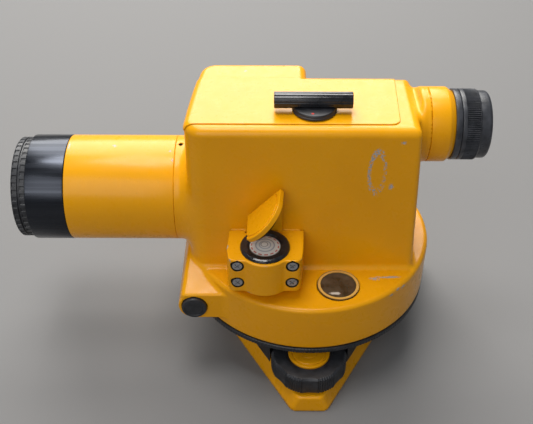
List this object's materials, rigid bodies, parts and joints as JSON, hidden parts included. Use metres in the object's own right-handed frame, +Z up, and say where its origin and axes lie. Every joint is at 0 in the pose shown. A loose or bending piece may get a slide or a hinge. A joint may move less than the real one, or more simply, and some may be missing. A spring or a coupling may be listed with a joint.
{
  "type": "automatic level",
  "caption": "Surveyor's automatic level: telescope on a rotating drum with circular level and mirror, over a three-screw levelling base.",
  "frame": {"origin": "centre of the tripod thread at the base plate's underside, on the vertical axis", "axes": "+X along the line of sight to the objective, +Y to the observer's left, +Z up"},
  "size_m": [0.2148, 0.132, 0.1363],
  "materials": {
    "yellow_paint": "glossy enamel on cast alloy",
    "black_paint": "semi-gloss black enamel",
    "black_plastic": "moulded, satin",
    "black_anodised": "black anodised, fine turned",
    "steel": "turned",
    "bright_screw": "bright plated",
    "brass": "machined",
    "alloy": "machined",
    "lens_glass": "polished, coated",
    "window_glass": "polished",
    "vial_glass": "polished",
    "mirror": "silvered"
  },
  "bodies": {
    "base": {"base_plate": "yellow_paint", "tripod_bush": "steel", "ball_retainer": "black_paint"},
    "foot_screw_1": {"foot_knob_1": "black_plastic", "foot_spindle_1": "steel", "foot_cap_1": "yellow_paint"},
    "foot_screw_2": {"foot_knob_2": "black_plastic", "foot_spindle_2": "steel", "foot_cap_2": "yellow_paint"},
    "foot_screw_3": {"foot_knob_3": "black_plastic", "foot_spindle_3": "steel", "foot_cap_3": "yellow_paint"},
    "tribrach": {"tribrach_body": "black_paint", "foot_bushes": "brass", "vertical_spindle": "steel", "spindle_nut": "steel"},
    "circle": {"circle_ring": "black_anodised", "graduated_circle": "alloy"},
    "azimuth_wheel": {"worm_wheel": "brass"},
    "telescope": {"main_housing": "yellow_paint", "bearing_plate": "alloy", "axis_bush": "brass", "top_cover": "yellow_paint", "objective_tube": "yellow_paint", "objective_ring": "black_anodised", "objective_front_ring": "black_anodised", "objective_lens": "lens_glass", "focus_guide": "alloy", "compensator_frame": "alloy", "damper_cup": "brass", "fixed_prism": "lens_glass", "reticle_cell": "black_anodised", "reticle_glass": "lens_glass", "eyepiece_ring": "yellow_paint", "eyepiece_tube": "alloy", "eyepiece_flange": "black_anodised", "level_block": "yellow_paint", "level_screws": "bright_screw", "level_ring": "black_plastic", "level_vial": "vial_glass", "mirror_pivot_screw": "bright_screw", "window_bezel": "yellow_paint", "window_glass": "window_glass", "sight_base": "black_plastic", "sight_tube": "black_plastic", "tangent_cap": "black_plastic"},
    "tangent_screw": {"tangent_worm": "steel", "tangent_knob": "black_plastic"},
    "focus_drive": {"focus_pinion": "steel", "focus_knob": "black_plastic"},
    "focus_slide": {"focus_carriage": "alloy", "focusing_lens": "lens_glass"},
    "compensator": {"pendulum": "brass", "pendulum_prism": "lens_glass"},
    "diopter": {"diopter_ring": "black_plastic", "eyecup": "black_plastic"},
    "eye_cell": {"eyepiece_cell": "black_anodised", "eyepiece_lens": "lens_glass"},
    "level_mirror": {"mirror_holder": "yellow_paint", "mirror_glass": "mirror"}
  },
  "joints": [
    {"name": "foot_screw_1_turn", "type": "hinge", "parent": "base", "child": "foot_screw_1", "pos_m": [0, 0.053, 0.0025], "axis": [0, 0, 1], "range_deg": [-600, 600]},
    {"name": "level_tilt", "type": "hinge", "parent": "base", "child": "tribrach", "pos_m": [0, -0.0265, 0.0025], "axis": [1, 0, 0], "range_deg": [-0.9, 0.9]},
    {"name": "foot_screw_2_turn", "type": "hinge", "parent": "tribrach", "child": "foot_screw_2", "pos_m": [-0.0459, -0.0265, 0.0025], "axis": [0, 0, 1], "range_deg": [-600, 600]},
    {"name": "foot_screw_3_turn", "type": "hinge", "parent": "tribrach", "child": "foot_screw_3", "pos_m": [0.0459, -0.0265, 0.0025], "axis": [0, 0, 1], "range_deg": [-600, 600]},
    {"name": "circle_ring_turn", "type": "hinge", "parent": "tribrach", "child": "circle", "pos_m": [0, 0, 0.0264], "axis": [0, 0, 1], "continuous": true},
    {"name": "azimuth_clutch", "type": "hinge", "parent": "tribrach", "child": "azimuth_wheel", "pos_m": [0, 0, 0.0405], "axis": [0, 0, 1], "continuous": true},
    {"name": "azimuth_fine_turn", "type": "hinge", "parent": "azimuth_wheel", "child": "telescope", "pos_m": [0, 0, 0.0463], "axis": [0, 0, 1], "continuous": true},
    {"name": "tangent_screw_turn", "type": "hinge", "parent": "telescope", "child": "tangent_screw", "pos_m": [0.054, 0, 0.0405], "axis": [0, 1, 0], "continuous": true},
    {"name": "focus_knob_turn", "type": "hinge", "parent": "telescope", "child": "focus_drive", "pos_m": [-0.013, -0.02, 0.0915], "axis": [0, 1, 0], "range_deg": [-150, 150]},
    {"name": "focus_travel", "type": "slide", "parent": "telescope", "child": "focus_slide", "axis": [1, 0, 0], "range_m": [-0.0105, 0.0105]},
    {"name": "compensator_swing", "type": "hinge", "parent": "telescope", "child": "compensator", "pos_m": [-0.0295, 0, 0.101], "axis": [0, 1, 0], "range_deg": [-0.5, 0.5]},
    {"name": "diopter_turn", "type": "hinge", "parent": "telescope", "child": "diopter", "pos_m": [-0.0688, 0, 0.1133], "axis": [1, 0, 0], "range_deg": [-150, 150]},
    {"name": "eye_cell_travel", "type": "slide", "parent": "telescope", "child": "eye_cell", "axis": [1, 0, 0], "range_m": [-0.00126, 0.00126]},
    {"name": "mirror_fold", "type": "hinge", "parent": "telescope", "child": "level_mirror", "pos_m": [0.0286, 0.0321, 0.0732], "axis": [0, 1, 0], "range_deg": [-46, 20]}
  ],
  "couplings": [
    {"joint": "foot_screw_1_turn", "follows": "level_tilt", "ratio": -666.02},
    {"joint": "tangent_screw_turn", "follows": "azimuth_fine_turn", "ratio": 100},
    {"joint": "focus_travel", "follows": "focus_knob_turn", "m_per_rad": -0.004},
    {"joint": "eye_cell_travel", "follows": "diopter_turn", "m_per_rad": -0.00048}
  ]
}
